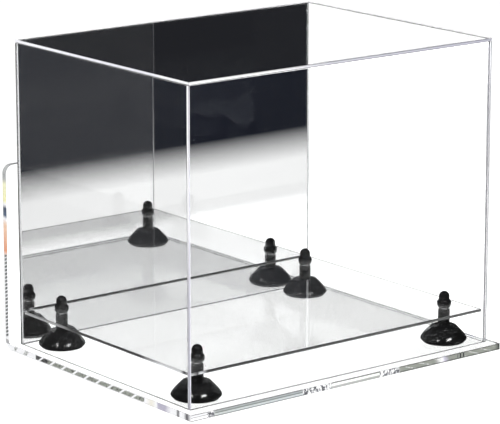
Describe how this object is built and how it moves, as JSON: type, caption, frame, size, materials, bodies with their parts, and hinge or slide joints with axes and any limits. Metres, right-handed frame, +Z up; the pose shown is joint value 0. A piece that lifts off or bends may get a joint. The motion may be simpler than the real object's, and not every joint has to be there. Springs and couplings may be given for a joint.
{
  "type": "display case",
  "caption": "Clear acrylic helmet display case: lift-off cover with mirror back, bent base with wall plate, and a platform on black screw-cap risers.",
  "frame": {"origin": "centre of the bounding box in plan, on the underside of the base", "axes": "+X along the wide front of the case to its right, +Y from the clear front towards the wall plate, +Z up"},
  "size_m": [0.396, 0.3154, 0.3226],
  "materials": {
    "base_acrylic": "polished",
    "clear_acrylic": "polished",
    "mirror_acrylic": "polished",
    "riser_black": "gloss",
    "pad_rubber": "matte",
    "stud_steel": "satin"
  },
  "bodies": {
    "base": {"base": "base_acrylic"},
    "cover": {"cover_front": "clear_acrylic", "cover_left": "clear_acrylic", "cover_right": "clear_acrylic", "cover_top": "clear_acrylic", "mirror_back": "mirror_acrylic"},
    "stand": {"platform": "clear_acrylic", "riser_foot_front_left": "riser_black", "riser_foot_front_right": "riser_black", "riser_foot_rear_left": "riser_black", "riser_foot_rear_right": "riser_black", "riser_pad_front_left": "pad_rubber", "riser_pad_front_right": "pad_rubber", "riser_pad_rear_left": "pad_rubber", "riser_pad_rear_right": "pad_rubber"},
    "stud_front_left": {"riser_stud_front_left": "stud_steel"},
    "cap_front_left": {"riser_cap_front_left": "riser_black"},
    "stud_front_right": {"riser_stud_front_right": "stud_steel"},
    "cap_front_right": {"riser_cap_front_right": "riser_black"},
    "stud_rear_left": {"riser_stud_rear_left": "stud_steel"},
    "cap_rear_left": {"riser_cap_rear_left": "riser_black"},
    "stud_rear_right": {"riser_stud_rear_right": "stud_steel"},
    "cap_rear_right": {"riser_cap_rear_right": "riser_black"}
  },
  "joints": [
    {"name": "cover_lift", "type": "slide", "parent": "base", "child": "cover", "axis": [0, 0, 1], "range_m": [0, 0.33]},
    {"name": "stand_lift", "type": "slide", "parent": "base", "child": "stand", "axis": [0, 0, 1], "range_m": [0, 0.2]},
    {"name": "stud_rise_front_left", "type": "slide", "parent": "stand", "child": "stud_front_left", "axis": [0, 0, 1], "range_m": [0, 0.01]},
    {"name": "cap_turn_front_left", "type": "hinge", "parent": "stud_front_left", "child": "cap_front_left", "pos_m": [-0.1585, -0.11417, 0.04215], "axis": [0, 0, 1], "range_deg": [0, 3600]},
    {"name": "stud_rise_front_right", "type": "slide", "parent": "stand", "child": "stud_front_right", "axis": [0, 0, 1], "range_m": [0, 0.01]},
    {"name": "cap_turn_front_right", "type": "hinge", "parent": "stud_front_right", "child": "cap_front_right", "pos_m": [0.1585, -0.11417, 0.04215], "axis": [0, 0, 1], "range_deg": [0, 3600]},
    {"name": "stud_rise_rear_left", "type": "slide", "parent": "stand", "child": "stud_rear_left", "axis": [0, 0, 1], "range_m": [0, 0.01]},
    {"name": "cap_turn_rear_left", "type": "hinge", "parent": "stud_rear_left", "child": "cap_rear_left", "pos_m": [-0.1585, 0.11083, 0.04215], "axis": [0, 0, 1], "range_deg": [0, 3600]},
    {"name": "stud_rise_rear_right", "type": "slide", "parent": "stand", "child": "stud_rear_right", "axis": [0, 0, 1], "range_m": [0, 0.01]},
    {"name": "cap_turn_rear_right", "type": "hinge", "parent": "stud_rear_right", "child": "cap_rear_right", "pos_m": [0.1585, 0.11083, 0.04215], "axis": [0, 0, 1], "range_deg": [0, 3600]}
  ],
  "couplings": [
    {"joint": "stud_rise_front_left", "follows": "cap_turn_front_left", "m_per_rad": 0.00015915},
    {"joint": "stud_rise_front_right", "follows": "cap_turn_front_right", "m_per_rad": 0.00015915},
    {"joint": "stud_rise_rear_left", "follows": "cap_turn_rear_left", "m_per_rad": 0.00015915},
    {"joint": "stud_rise_rear_right", "follows": "cap_turn_rear_right", "m_per_rad": 0.00015915}
  ]
}
